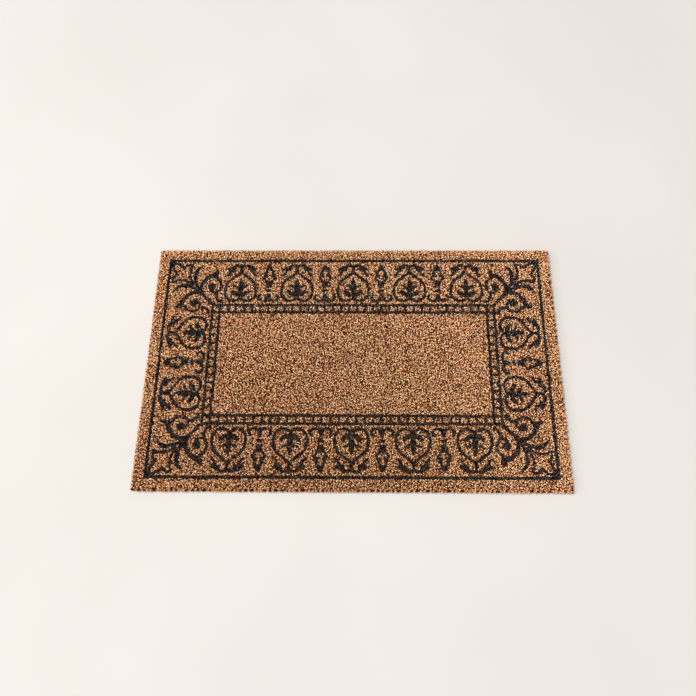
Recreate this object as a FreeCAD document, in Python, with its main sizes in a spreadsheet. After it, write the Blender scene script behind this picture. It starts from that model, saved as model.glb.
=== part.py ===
import FreeCAD, Part
import os
from FreeCAD import Placement, Rotation, Vector
import Sketcher

os.makedirs("parts", exist_ok=True)
doc = FreeCAD.newDocument("door_mat")

# ---------------------------------------------------------------------------
# Driving sizes (mm).  Insets are measured inwards from the mat's cut edge.
# ---------------------------------------------------------------------------
SIZES = [
    ("mat_length", 737.0),
    ("mat_width", 432.0),
    ("backing_thickness", 2.6),
    ("pile_height", 12.4),
    ("dye_depth", 5.0),
    ("foot_depth", 1.4),
    ("foot_margin", 4.0),
    ("outer_line_inset", 22.0),
    ("outer_line_width", 5.4),
    ("course_outer_inset", 109.5),
    ("course_inner_inset", 123.0),
    ("course_line_width", 5.0),
    ("cell_bar_width", 4.0),
    ("long_cells", 33),
    ("short_cells", 13),
    ("heart_pitch", 105.0),
    ("side_heart_offset", 54.5),
    ("stroke_width", 5.3),
    ("fine_stroke_width", 4.8),
]
sheet = doc.addObject("Spreadsheet::Sheet", "sizes")
for row, (alias, value) in enumerate(SIZES, start=1):
    sheet.set("A%d" % row, alias)
    sheet.set("B%d" % row, str(value))
    sheet.setAlias("B%d" % row, alias)
DERIVED = [
    ("top_level", "=backing_thickness + pile_height"),
    ("dye_floor", "=backing_thickness + pile_height - dye_depth"),
    ("border_start", "=outer_line_inset - outer_line_width / 2"),
    ("ornament_start", "=outer_line_inset + outer_line_width / 2"),
    ("course_start", "=course_outer_inset - course_line_width / 2"),
    ("field_start", "=course_inner_inset + course_line_width / 2"),
    ("field_length", "=mat_length - 2 * course_inner_inset - course_line_width"),
    ("field_width", "=mat_width - 2 * course_inner_inset - course_line_width"),
    ("cell_depth", "=course_inner_inset - course_outer_inset - course_line_width"),
    ("long_pitch", "=(mat_length - 2 * course_inner_inset) / long_cells"),
    ("short_pitch", "=(mat_width - 2 * course_inner_inset) / short_cells"),
]
for row, (alias, formula) in enumerate(DERIVED, start=len(SIZES) + 1):
    sheet.set("A%d" % row, alias)
    sheet.set("B%d" % row, formula)
    sheet.setAlias("B%d" % row, alias)
doc.recompute()

SIDES = ("front", "back", "left", "right")
nodes = []


def size(alias):
    """Value of one named size, in mm."""
    return float(sheet.get(alias))


def expression(text):
    """The text with every size name pointed at the spreadsheet."""
    names = sorted([name for name, _ in SIZES + DERIVED], key=len, reverse=True)
    words = text.split(" ")
    return " ".join("sizes." + word if word in names else word for word in words)


def box(name, length, width, height, x, y, z):
    """A box with its six numbers bound to the sheet."""
    item = doc.addObject("Part::Box", name)
    item.setExpression("Length", expression(length))
    item.setExpression("Width", expression(width))
    item.setExpression("Height", expression(height))
    item.setExpression("Placement.Base.x", expression(x))
    item.setExpression("Placement.Base.y", expression(y))
    item.setExpression("Placement.Base.z", expression(z))
    return item


def fuse(name, items):
    """One solid from several objects."""
    item = doc.addObject("Part::MultiFuse", name)
    item.Shapes = items
    item.Refine = True
    return item


def cut(name, base, pockets):
    """The base object with every pocket taken out of it."""
    group = doc.addObject("Part::Compound", name + "_pockets")
    group.Links = pockets
    item = doc.addObject("Part::Cut", name)
    item.Base = base
    item.Tool = group
    return item


def node(item, label):
    """Names an object as a sub-part that gets its own file."""
    item.Label = label
    nodes.append(item)
    return item


# ---------------------------------------------------------------------------
# Ground strips: four butted strips make the frame between two insets
# ---------------------------------------------------------------------------
def strip_box(name, side, outer, inner, base, height, shrink="0"):
    """One strip of the frame between two insets; front and back run the full length."""
    long_x = "0 - mat_length / 2 + %s + %s" % (outer, shrink)
    long_length = "mat_length - 2 * %s - 2 * %s" % (outer, shrink)
    depth = "%s - %s - 2 * %s" % (inner, outer, shrink)
    short_length = "mat_width - 2 * %s - 2 * %s" % (inner, shrink)
    near = "0 - mat_width / 2 + %s + %s" % (outer, shrink)
    far = "mat_width / 2 - %s + %s" % (inner, shrink)
    if side == "front":
        return box(name, long_length, depth, height, long_x, near, base)
    if side == "back":
        return box(name, long_length, depth, height, long_x, far, base)
    start = "0 - mat_width / 2 + %s + %s" % (inner, shrink)
    if side == "left":
        return box(name, depth, short_length, height, long_x, start, base)
    right = "mat_length / 2 - %s + %s" % (inner, shrink)
    return box(name, depth, short_length, height, right, start, base)


def pile_strip(zone, side, outer, inner):
    """A strip of standing bristles with its feet reaching down into the backing.

    Returns the strip with its feet, and the feet alone.
    """
    name = "%s_%s" % (zone, side)
    stand = strip_box(name + "_stand", side, outer, inner, "backing_thickness", "pile_height")
    feet = strip_box(
        name + "_feet", side, outer, inner, "backing_thickness - foot_depth", "foot_depth", "foot_margin"
    )
    return fuse(name + "_pile_block", [stand, feet]), feet


def field_pile():
    """The plain rectangle of bristles in the middle, with its feet."""
    x = "0 - field_length / 2"
    y = "0 - field_width / 2"
    stand = box("field_stand", "field_length", "field_width", "pile_height", x, y, "backing_thickness")
    feet = box(
        "field_feet",
        "field_length - 2 * foot_margin",
        "field_width - 2 * foot_margin",
        "foot_depth",
        x + " + foot_margin",
        y + " + foot_margin",
        "backing_thickness - foot_depth",
    )
    return fuse("field_pile_block", [stand, feet]), feet


# ---------------------------------------------------------------------------
# Flat outlines for the printed ornament, drawn with arcs and straight edges.
# Each returns a solid dye_depth deep, standing on z = 0.
# ---------------------------------------------------------------------------
def raised(wire):
    """The solid dye_depth deep above a closed flat wire."""
    face = Part.Face(wire)
    if face.normalAt(0, 0).z < 0:
        face.reverse()
    return face.extrude(Vector(0, 0, size("dye_depth")))


def point(pair):
    """A flat point as a vector."""
    return Vector(pair[0], pair[1], 0)


def arc(first, middle, last):
    """An arc edge through three flat points."""
    return Part.Arc(point(first), point(middle), point(last)).toShape()


def disc(centre, radius):
    """A round spot."""
    circle = Part.Circle(point(centre), Vector(0, 0, 1), radius)
    return raised(Part.Wire(circle.toShape()))


def polygon(corners):
    """A straight-sided patch."""
    points = [point(corner) for corner in corners]
    return raised(Part.makePolygon(points + points[:1]))


def region(start, *steps):
    """A patch with a mixed outline: a pair is a straight side's end, a list is an arc's middle and end."""
    edges = []
    here = start
    for step in steps + (start,):
        if isinstance(step, list):
            edges.append(arc(here, step[0], step[1]))
            here = step[1]
        else:
            edges.append(Part.makeLine(point(here), point(step)))
            here = step
    return raised(Part.Wire(edges))


def leaf(root, tip, left, right):
    """A patch between two arcs from root to tip; left and right are how far each bulges.

    A negative bulge bends to the other side, so a crescent has one of each sign.
    """
    along = point(tip) - point(root)
    across = Vector(-along.y, along.x, 0)
    across.normalize()
    middle = (point(root) + point(tip)) * 0.5
    there = Part.Arc(point(root), middle + across * left, point(tip))
    back = Part.Arc(point(tip), middle - across * right, point(root))
    return raised(Part.Wire([there.toShape(), back.toShape()]))


def line(first, last, width):
    """A straight stroke with round ends."""
    along = point(last) - point(first)
    across = Vector(-along.y, along.x, 0)
    across.normalize()
    across = across * (width / 2)
    corners = [
        point(first) + across,
        point(last) + across,
        point(last) - across,
        point(first) - across,
    ]
    bar = polygon([(corner.x, corner.y) for corner in corners])
    return join([bar, disc(first, width / 2), disc(last, width / 2)])


def bend(first, middle, last, width):
    """A curved stroke of even width through three points, with round ends."""
    circle = arc(first, middle, last).Curve
    centre = circle.Center

    def at(pair, offset):
        ray = point(pair) - centre
        ray.normalize()
        return centre + ray * (circle.Radius + offset)

    half = width / 2
    outside = Part.Arc(at(first, half), at(middle, half), at(last, half)).toShape()
    end = Part.makeLine(at(last, half), at(last, -half))
    inside = Part.Arc(at(last, -half), at(middle, -half), at(first, -half)).toShape()
    start = Part.makeLine(at(first, -half), at(first, half))
    band = raised(Part.Wire([outside, end, inside, start]))
    return join([band, disc(first, half), disc(last, half)])


def join(solids):
    """One shape from overlapping solids, without the seams between them."""
    return solids[0].multiFuse(solids[1:]).removeSplitter()


def mirrored(solid, axis):
    """The mirror image of a solid across a plane through the origin."""
    return solid.mirror(Vector(0, 0, 0), axis)


def both(solids):
    """The solids and their left-to-right mirror images."""
    return solids + [mirrored(solid, Vector(1, 0, 0)) for solid in solids]


# ---------------------------------------------------------------------------
# Ornament: x runs across, y is the inset from the mat's edge
# ---------------------------------------------------------------------------
def heart_motif():
    """A heart with its point outwards, the palmette inside it and the leaf spray at its point."""
    stroke = size("stroke_width")
    outline = [
        bend((0, 94.5), (14, 101), (28.7, 84), stroke),
        bend((28.7, 84), (27, 70), (19, 59.3), stroke),
        line((19, 59.3), (0, 45.5), stroke),
    ]
    palmette = [
        leaf((0, 93), (18.6, 82.5), 4.2, 4.8),
        disc((14.6, 83.2), 3.5),
        leaf((2, 78.5), (16.4, 71.3), 0.4, 4.4),
        disc((13, 71.4), 2.2),
    ]
    spray = [
        bend((0, 34), (5, 31.8), (12, 31.9), stroke),
        region((10.5, 31), (11.4, 40.6), [(19, 43), (30, 38.3)], [(20, 33), (10.5, 29.4)]),
        bend((20.8, 41), (22.6, 47.5), (26.8, 51), stroke),
    ]
    spine = [
        leaf((0, 97), (0, 70), 4.6, 4.6),
        polygon([(-3, 86), (-6.2, 78), (-4.2, 67), (4.2, 67), (6.2, 78), (3, 86)]),
        leaf((0, 78), (0, 56.8), 4.4, 4.4),
    ]
    stem = polygon([(-4.5, 46), (-2.7, 39), (-3, 33), (3, 33), (2.7, 39), (4.5, 46)])
    return join(both(outline + palmette + spray) + spine + [stem])


def finial_motif():
    """The spearhead with the bead above it and the hooked base, which stand between two hearts.

    Returns its separate patches, which don't touch one another.
    """
    stroke = size("stroke_width")
    rim = [(0, 75.4), (4.5, 75), (5.6, 69), (7.4, 64), (13.8, 55.8), (9.8, 49.5), (8.2, 43), (4.8, 33.5)]
    eye = [(0, 29.3), (0, 40.8), (4, 44), (4, 48.8), (1.8, 51.4), (1.8, 54.2), (8.4, 55.8), (5, 60.8), (0, 63)]
    spear = join(both([polygon(rim + eye)]))
    bead = line((-3, 81), (3, 81), 5.8)
    hooks = both(
        [
            bend((3, 97.5), (11.5, 101.3), (18.2, 96.5), stroke),
            bend((18.2, 96.5), (18.4, 92.6), (16, 90.4), stroke),
        ]
    )
    core = polygon([(-2.4, 86.8), (2.4, 86.8), (4.8, 95), (4.2, 100), (0, 103.6), (-4.2, 100), (-4.8, 95)])
    return [spear, bead, join(hooks + [core])]


def corner_motif():
    """The corner spray: notched leaf, crescent leaves and two scrolls, alike across the diagonal.

    x and y are both insets from the corner's two edges.
    """
    stroke = size("stroke_width")
    fine = size("fine_stroke_width")
    scroll = [
        region(
            (83, 79.5),
            [(59, 87.5), (46, 107)],
            (36.8, 112.8),
            (44, 116),
            (56.5, 114.5),
            [(61.5, 95.5), (84, 89)],
        ),
        bend((57.5, 111.5), (69.5, 121.2), (83.5, 116), stroke),
        bend((83.5, 116), (92, 114.6), (98.5, 117.5), stroke),
        bend((98.5, 117.5), (101.4, 120), (102, 123.8), stroke),
        disc((102, 124), 3.6),
        bend((84, 115.5), (84.8, 107.5), (79.5, 101.5), fine),
        disc((73.7, 104.6), 7.2),
    ]
    leaves = [
        region(
            (83, 81),
            [(65, 70.6), (50, 68)],
            [(37, 73.8), (31.4, 87.5)],
            [(38.5, 80.4), (51, 75.4)],
            [(66, 77.6), (83, 86)],
        ),
        bend((68.5, 72.5), (58.5, 63.8), (46, 61.4), fine),
        bend((46, 61.4), (38.5, 61.6), (32.4, 64.6), fine),
        bend((31.4, 64), (30.2, 57), (36.8, 49.3), fine),
        bend((36.8, 48.3), (31, 42), (27.2, 30), fine),
    ]
    half = scroll + leaves
    swapped = [mirrored(solid, Vector(1, -1, 0)) for solid in half]
    stem = [line((107, 107), (86, 86), 6.4), polygon([(100, 107), (107, 107), (107, 100)])]
    whole = join(half + swapped + stem + [disc((86, 86), 5.2), disc((27, 27), 3.6)])
    return whole.common(border_corner())


def border_corner():
    """The L-shaped ground a corner motif may cover, between outer line and course."""
    start = size("ornament_start")
    stop = size("course_start")
    reach = 2 * stop
    deep = size("dye_depth")
    ground = Part.makeBox(reach, reach, deep, Vector(start, start, 0))
    return ground.cut(Part.makeBox(reach, reach, deep, Vector(stop, stop, 0)))


def patch(label, solids, placement):
    """An ornament node: its solids as one shape, placed on the mat."""
    item = doc.addObject("Part::Feature", label)
    shape = solids[0] if len(solids) == 1 else Part.makeCompound(solids)
    item.Shape = shape
    item.Placement = placement
    return node(item, label)


def moved(solid, x):
    """A copy of a solid slid along x."""
    copy = solid.copy()
    copy.translate(Vector(x, 0, 0))
    return copy


# Where each side's own frame sits: x along the side, y inwards from the edge.
half_length = size("mat_length") / 2
half_width = size("mat_width") / 2
SIDE_ORIGIN = {
    "front": (0, -half_width, 0),
    "right": (half_length, 0, 90),
    "back": (0, half_width, 180),
    "left": (-half_length, 0, 270),
}
CORNER_ORIGIN = {
    "front_left": (-half_length, -half_width, 0),
    "front_right": (half_length, -half_width, 90),
    "back_right": (half_length, half_width, 180),
    "back_left": (-half_length, half_width, 270),
}


def seat(origin):
    """The placement of a side's or corner's frame, at the floor of the dyed layer."""
    x, y, turn = origin
    return Placement(Vector(x, y, size("dye_floor")), Rotation(Vector(0, 0, 1), turn))


def ladder(side):
    """The two lines and the bars between them along one side of the course band."""
    is_long = side in ("front", "back")
    prefix = "long" if is_long else "short"
    outside = "mat_length - 2 * course_start" if is_long else "mat_width - 2 * field_start"
    body = doc.addObject("PartDesign::Body", "course_ladder_%s_body" % side)

    rail_sketch = flat_sketch(body, "rail_outline_" + side)
    add_rectangle(rail_sketch, outside, "field_start - course_start", "course_start")
    pad = body.newObject("PartDesign::Pad", "rail_" + side)
    pad.Profile = rail_sketch
    pad.setExpression("Length", expression("dye_depth"))

    cells = "%s_cells" % prefix
    pitch = "%s_pitch" % prefix
    cell_row(body, "cell_" + side, "%s - cell_bar_width" % pitch, cells, "( %s - 1 ) * %s" % (cells, pitch))
    if is_long:
        run = "mat_length - course_outer_inset - course_inner_inset"
        cell_row(body, "corner_cell_" + side, "cell_depth", "2", run)
    body.Placement = seat(SIDE_ORIGIN[side])
    return node(body, "course_ladder_" + side)


def cell_row(body, name, length, count, run):
    """Cuts a row of cells through the rail, the first and last of them run apart."""
    sketch = flat_sketch(body, name + "_outline")
    inset = "course_outer_inset + course_line_width / 2"
    add_rectangle(sketch, length, "cell_depth", inset, "( %s ) / 2" % run)
    pocket = body.newObject("PartDesign::Pocket", name)
    pocket.Profile = sketch
    pocket.Type = "ThroughAll"
    pocket.Midplane = True
    pattern = body.newObject("PartDesign::LinearPattern", name + "_row")
    pattern.Originals = [pocket]
    pattern.Direction = (sketch, ["H_Axis"])
    pattern.setExpression("Length", expression(run))
    pattern.setExpression("Occurrences", expression(count))
    pattern.Reversed = True
    body.Tip = pattern


def flat_sketch(body, name):
    """A sketch on a body's own XY plane."""
    sketch = body.newObject("Sketcher::SketchObject", name)
    plane = [f for f in body.Origin.OriginFeatures if f.Role == "XY_Plane"][0]
    sketch.AttachmentSupport = [(plane, "")]
    sketch.MapMode = "FlatFace"
    return sketch


def add_rectangle(sketch, length, depth, inset, centre="0"):
    """A rectangle with its size, its inset from the mat's edge and its centre along the side bound."""
    corners = [Vector(-9, 110, 0), Vector(9, 110, 0), Vector(9, 120, 0), Vector(-9, 120, 0)]
    for index in range(4):
        sketch.addGeometry(Part.LineSegment(corners[index], corners[(index + 1) % 4]), False)
    for index in range(4):
        sketch.addConstraint(Sketcher.Constraint("Coincident", index, 2, (index + 1) % 4, 1))
    sketch.addConstraint(Sketcher.Constraint("Horizontal", 0))
    sketch.addConstraint(Sketcher.Constraint("Horizontal", 2))
    sketch.addConstraint(Sketcher.Constraint("Vertical", 1))
    sketch.addConstraint(Sketcher.Constraint("Vertical", 3))
    wide = sketch.addConstraint(Sketcher.Constraint("DistanceX", 0, 1, 0, 2, 18))
    tall = sketch.addConstraint(Sketcher.Constraint("DistanceY", 1, 1, 1, 2, 10))
    low = sketch.addConstraint(Sketcher.Constraint("DistanceY", -1, 1, 0, 1, 110))
    far = sketch.addConstraint(Sketcher.Constraint("DistanceX", -1, 1, 0, 2, 9))
    sketch.setExpression("Constraints[%d]" % wide, expression(length))
    sketch.setExpression("Constraints[%d]" % tall, expression(depth))
    sketch.setExpression("Constraints[%d]" % low, expression(inset))
    sketch.setExpression("Constraints[%d]" % far, expression("( %s ) / 2 + %s" % (length, centre)))


# ---------------------------------------------------------------------------
# The mat, piece by piece
# ---------------------------------------------------------------------------
def dyed_nodes():
    """Every group of dyed bristle tips, by side: outer line, course ladder, hearts, finials, corners."""
    heart = heart_motif()
    finial = finial_motif()
    corner = corner_motif()
    pitch = size("heart_pitch")
    offset = size("side_heart_offset")
    heart_places = {
        "front": [pitch * step for step in (-2, -1, 0, 1, 2)],
        "left": [-offset, offset],
    }
    finial_places = {
        "front": [pitch * step for step in (-1.5, -0.5, 0.5, 1.5)],
        "left": [0],
    }
    heart_places["back"] = heart_places["front"]
    heart_places["right"] = heart_places["left"]
    finial_places["back"] = finial_places["front"]
    finial_places["right"] = finial_places["left"]

    dyed = {"border": [], "course": []}
    for side in SIDES:
        outer = strip_box(
            "outer_line_bar_" + side, side, "border_start", "ornament_start", "dye_floor", "dye_depth"
        )
        dyed["border"].append(node(outer, "outer_line_" + side))
        hearts = [moved(heart, x) for x in heart_places[side]]
        dyed["border"].append(patch("hearts_" + side, hearts, seat(SIDE_ORIGIN[side])))
        finials = [moved(piece, x) for x in finial_places[side] for piece in finial]
        dyed["border"].append(patch("finials_" + side, finials, seat(SIDE_ORIGIN[side])))
        dyed["course"].append(ladder(side))
    for place, origin in CORNER_ORIGIN.items():
        dyed["border"].append(patch("corner_spray_" + place, [corner], seat(origin)))
    return dyed


def natural_nodes(dyed):
    """Every group of undyed bristles. Returns the feet of all of them."""
    feet = []
    zones = [
        ("margin", "0", "border_start", []),
        ("border", "border_start", "course_start", dyed["border"]),
        ("course", "course_start", "field_start", dyed["course"]),
    ]
    for zone, outer, inner, prints in zones:
        for side in SIDES:
            block, block_feet = pile_strip(zone, side, outer, inner)
            feet.append(block_feet)
            if prints:
                block = cut("%s_%s_cut" % (zone, side), block, prints)
            node(block, "%s_pile_%s" % (zone, side))
    block, block_feet = field_pile()
    feet.append(block_feet)
    node(block, "field_pile")
    return feet


def backing_sheet(feet):
    """The flexible sheet under everything, hollowed where the bristles' feet are set into it."""
    slab = box(
        "backing_slab",
        "mat_length",
        "mat_width",
        "backing_thickness",
        "0 - mat_length / 2",
        "0 - mat_width / 2",
        "0",
    )
    return node(cut("backing_cut", slab, feet), "backing_sheet")


dyed = dyed_nodes()
doc.recompute()
backing_sheet(natural_nodes(dyed))
doc.recompute()

bad = [item.Label for item in doc.Objects if "Invalid" in item.State or "Error" in item.State]
if bad:
    raise RuntimeError("objects that failed: " + ", ".join(bad))
for item in nodes:
    shape = item.Shape
    if shape.isNull() or not shape.isValid() or not shape.Solids:
        raise RuntimeError("bad shape: " + item.Label)
for item in nodes:
    item.Shape.exportStep("parts/%s.step" % item.Label)
print(len(nodes), "sub-parts")
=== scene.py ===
"""A printed coir door mat: backing sheet, bristle pile with a dyed border, and the studio round it."""
import logging
import math
from collections.abc import Callable
from dataclasses import dataclass, field
from enum import Enum

import bpy
import numpy as np
from mathutils import Matrix, Vector
from mathutils.bvhtree import BVHTree


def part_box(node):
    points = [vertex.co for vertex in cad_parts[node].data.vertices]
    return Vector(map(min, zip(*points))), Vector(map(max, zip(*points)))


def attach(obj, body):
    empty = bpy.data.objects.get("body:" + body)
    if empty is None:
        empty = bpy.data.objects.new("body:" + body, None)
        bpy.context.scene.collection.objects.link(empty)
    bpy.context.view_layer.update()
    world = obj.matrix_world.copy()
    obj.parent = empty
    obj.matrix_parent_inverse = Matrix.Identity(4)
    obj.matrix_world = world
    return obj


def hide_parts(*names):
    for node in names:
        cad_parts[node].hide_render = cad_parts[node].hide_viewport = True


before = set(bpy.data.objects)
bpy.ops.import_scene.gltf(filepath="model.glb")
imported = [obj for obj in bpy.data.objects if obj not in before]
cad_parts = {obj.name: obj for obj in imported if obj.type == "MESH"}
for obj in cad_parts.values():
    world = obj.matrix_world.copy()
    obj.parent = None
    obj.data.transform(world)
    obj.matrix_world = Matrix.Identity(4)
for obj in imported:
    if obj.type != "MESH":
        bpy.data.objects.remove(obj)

Colour = tuple[float, float, float, float]
Fed = bpy.types.NodeSocket | float | Colour

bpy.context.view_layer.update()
LOG = logging.getLogger("door_mat")
MM = 0.001
SEED = 4173
SIDES = ("front", "back", "left", "right")
CORNERS = ("front_left", "front_right", "back_right", "back_left")
ZONES = ("margin", "border", "course")


class Slot(Enum):
    """Names of three material slots; nothing in the script uses them."""

    NATURAL = "coir_natural"
    DYED = "coir_dyed"
    BACKING = "pvc_backing"


class PrintGroup(Enum):
    """The parts of the print that become pieces of their own."""

    OUTER_LINE = "outer_line"
    LADDER = "course_ladder"
    HEARTS = "hearts"
    FINIALS = "finials"
    CORNERS = "corner_spray"

    def nodes(self) -> list[str]:
        """The CAD nodes of this part of the print."""
        places = CORNERS if self is PrintGroup.CORNERS else SIDES
        return [f"{self.value}_{place}" for place in places]


def pile_nodes() -> list[str]:
    """The CAD nodes that the undyed bristles stand for."""
    return [f"{zone}_pile_{side}" for zone in ZONES for side in SIDES] + ["field_pile"]


# ---------------------------------------------------------------------------
# Working by hand: selection, edit mode and finishing a piece
# ---------------------------------------------------------------------------
def clear_selection() -> None:
    """Deselects everything and leaves edit mode."""
    if bpy.context.object is not None and bpy.context.object.mode != "OBJECT":
        bpy.ops.object.mode_set(mode="OBJECT")
    bpy.ops.object.select_all(action="DESELECT")


def make_active(piece: bpy.types.Object) -> None:
    """Makes one piece the only selected and active object.

    Args:
        piece: the object.
    """
    clear_selection()
    piece.select_set(True)
    bpy.context.view_layer.objects.active = piece


def select_faces(piece: bpy.types.Object, test: Callable[[bpy.types.MeshPolygon], bool]) -> None:
    """Selects the faces of a piece, open in edit mode, whose polygon passes a test.

    Args:
        piece: the active object.
        test: called with each polygon; true keeps it.
    """
    bpy.ops.mesh.select_mode(type="FACE")
    bpy.ops.mesh.select_all(action="DESELECT")
    bpy.ops.object.mode_set(mode="OBJECT")
    for polygon in piece.data.polygons:
        polygon.select = test(polygon)
    bpy.ops.object.mode_set(mode="EDIT")


def finish_piece(piece: bpy.types.Object, name: str) -> bpy.types.Object:
    """Names a piece and bakes its place, turn and scale into its mesh.

    Args:
        piece: the object.
        name: its new name.

    Returns:
        The same object.
    """
    make_active(piece)
    bpy.ops.object.transform_apply(location=True, rotation=True, scale=True)
    piece.name = name
    piece.data.name = name
    return piece


def dress(piece: bpy.types.Object, material: bpy.types.Material) -> None:
    """Gives a piece its only material."""
    piece.data.materials.clear()
    piece.data.materials.append(material)


def report(piece: bpy.types.Object) -> None:
    """Logs a piece's name and triangle count."""
    triangles = sum(len(polygon.vertices) - 2 for polygon in piece.data.polygons)
    LOG.info("%-24s %7d triangles", piece.name, triangles)


# ---------------------------------------------------------------------------
# Sizes read from the CAD frame
# ---------------------------------------------------------------------------
@dataclass(frozen=True)
class MatFrame:
    """Where the mat's main surfaces lie.

    Attributes:
        half_length: half the mat's long side.
        half_width: half the mat's short side.
        sheet_top: height of the backing sheet's top face.
        pile_top: height of the pile's top.
    """

    half_length: float
    half_width: float
    sheet_top: float
    pile_top: float

    @classmethod
    def read(cls) -> "MatFrame":
        """Reads the sizes from the backing sheet and the field pile."""
        low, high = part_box("backing_sheet")
        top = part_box("field_pile")[1]
        return cls((high.x - low.x) / 2, (high.y - low.y) / 2, high.z, top.z)


class PrintPlan:
    """Says which places on the mat are printed, from the outlines of the CAD print."""

    def __init__(self) -> None:
        """Builds one search tree per part of the print."""
        self.trees = {group: self._tree(group) for group in PrintGroup}

    @staticmethod
    def _tree(group: PrintGroup) -> BVHTree:
        """Builds the search tree of one part of the print.

        Args:
            group: the part of the print.

        Returns:
            A tree over every face of its nodes.
        """
        points: list[Vector] = []
        faces: list[list[int]] = []
        for name in group.nodes():
            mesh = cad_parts[name].data
            start = len(points)
            points.extend(vertex.co.copy() for vertex in mesh.vertices)
            faces.extend([start + index for index in polygon.vertices] for polygon in mesh.polygons)
        return BVHTree.FromPolygons(points, faces)

    def covered(self, group: PrintGroup, places: np.ndarray) -> np.ndarray:
        """Tests places against one part of the print.

        Args:
            group: the part of the print.
            places: an (n, 2) array of x and y.

        Returns:
            A boolean array, true where the print covers the place.
        """
        tree = self.trees[group]
        down = Vector((0.0, 0.0, -1.0))
        found = np.zeros(len(places), dtype=bool)
        for index, (x, y) in enumerate(places):
            found[index] = tree.ray_cast(Vector((x, y, 1.0)), down)[0] is not None
        return found


# ---------------------------------------------------------------------------
# Materials
# ---------------------------------------------------------------------------
class NodeBench:
    """A node tree with short ways to add, set and join nodes."""

    def __init__(self, tree: bpy.types.NodeTree) -> None:
        """Starts on an empty tree."""
        self.tree = tree
        self.tree.nodes.clear()

    def add(self, kind: str, values: dict | None = None, **settings) -> bpy.types.Node:
        """Adds a node.

        Args:
            kind: the node's type name.
            values: input values by name or number.
            settings: properties of the node itself.

        Returns:
            The node.
        """
        node = self.tree.nodes.new(kind)
        for key, value in settings.items():
            setattr(node, key, value)
        for key, value in (values or {}).items():
            node.inputs[key].default_value = value
        return node

    def join(self, source: bpy.types.NodeSocket, target: bpy.types.NodeSocket) -> None:
        """Links two sockets."""
        self.tree.links.new(source, target)

    def feed(self, socket: bpy.types.NodeSocket, value: Fed) -> None:
        """Joins or sets one input.

        Args:
            socket: the input.
            value: the socket to join it to, or its number or colour.
        """
        if isinstance(value, bpy.types.NodeSocket):
            self.join(value, socket)
        else:
            socket.default_value = value

    def math(
        self, operation: str, first: Fed, second: Fed = 0.0, clamp: bool = False
    ) -> bpy.types.NodeSocket:
        """Adds a math node.

        Args:
            operation: what it works out.
            first: its first input.
            second: its second input.
            clamp: whether the result is kept between 0 and 1.

        Returns:
            Its output.
        """
        node = self.add("ShaderNodeMath", operation=operation, use_clamp=clamp)
        self.feed(node.inputs[0], first)
        self.feed(node.inputs[1], second)
        return node.outputs[0]

    def ramp(self, value: Fed, low: Fed, high: Fed, out_low: float, out_high: float) -> bpy.types.NodeSocket:
        """Adds a smooth map from one range to another.

        Args:
            value: what is mapped.
            low, high: the range that it comes from.
            out_low, out_high: the range that it goes to.

        Returns:
            Its output.
        """
        node = self.add("ShaderNodeMapRange", interpolation_type="SMOOTHSTEP")
        for socket, number in zip(node.inputs, (value, low, high, out_low, out_high)):
            self.feed(socket, number)
        return node.outputs[0]

    def mix(self, factor: Fed, first: Fed, second: Fed, blend: str = "MIX") -> bpy.types.NodeSocket:
        """Adds a colour mix.

        Args:
            factor: how much of the second colour there is.
            first: the first colour.
            second: the second colour.
            blend: how they are blended.

        Returns:
            Its output.
        """
        node = self.add("ShaderNodeMix", data_type="RGBA", blend_type=blend)
        for number, value in ((0, factor), (6, first), (7, second)):
            self.feed(node.inputs[number], value)
        return node.outputs[2]

    def noise(
        self, place: bpy.types.NodeSocket, scale: float, detail: float = 2.0, roughness: float = 0.5
    ) -> bpy.types.NodeSocket:
        """Adds a noise texture.

        Args:
            place: where it is read.
            scale: how many features it has to the metre.
            detail: how many finer layers it has.
            roughness: how strong those are.

        Returns:
            Its value.
        """
        node = self.add("ShaderNodeTexNoise", {"Scale": scale, "Detail": detail, "Roughness": roughness})
        self.join(place, node.inputs["Vector"])
        return node.outputs["Fac"]

    def bump(
        self, height: bpy.types.NodeSocket, shader: bpy.types.Node, strength: float, depth: float
    ) -> None:
        """Adds a bump to a shader.

        Args:
            height: what raises the surface.
            shader: the shader.
            strength: how strong the bump is.
            depth: how high it is.
        """
        node = self.add("ShaderNodeBump", {"Strength": strength, "Distance": depth})
        self.join(height, node.inputs["Height"])
        self.join(node.outputs[0], shader.inputs["Normal"])


def new_material(name: str, values: dict[str, float]) -> tuple[bpy.types.Material, NodeBench, bpy.types.Node]:
    """Starts a material with one Principled shader.

    Args:
        name: the material's name.
        values: the shader's own constant inputs.

    Returns:
        The material, its bench and its shader.
    """
    material = bpy.data.materials.new(name)
    material.use_nodes = True
    bench = NodeBench(material.node_tree)
    out = bench.add("ShaderNodeOutputMaterial")
    shader = bench.add("ShaderNodeBsdfPrincipled", values)
    bench.join(shader.outputs[0], out.inputs["Surface"])
    return material, bench, shader


def new_group(
    name: str, inputs: dict[str, tuple[str, float | Colour]], outputs: dict[str, str]
) -> tuple[NodeBench, bpy.types.Node, bpy.types.Node]:
    """Starts a shader node group with named sockets.

    Args:
        name: the group's name.
        inputs: socket name to (socket type, default).
        outputs: socket name to socket type.

    Returns:
        The bench, the group's input node and its output node.
    """
    tree = bpy.data.node_groups.new(name, "ShaderNodeTree")
    for key, (kind, value) in inputs.items():
        socket = tree.interface.new_socket(key, in_out="INPUT", socket_type=kind)
        socket.default_value = value
    for key, kind in outputs.items():
        tree.interface.new_socket(key, in_out="OUTPUT", socket_type=kind)
    bench = NodeBench(tree)
    return bench, bench.add("NodeGroupInput"), bench.add("NodeGroupOutput")


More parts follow.
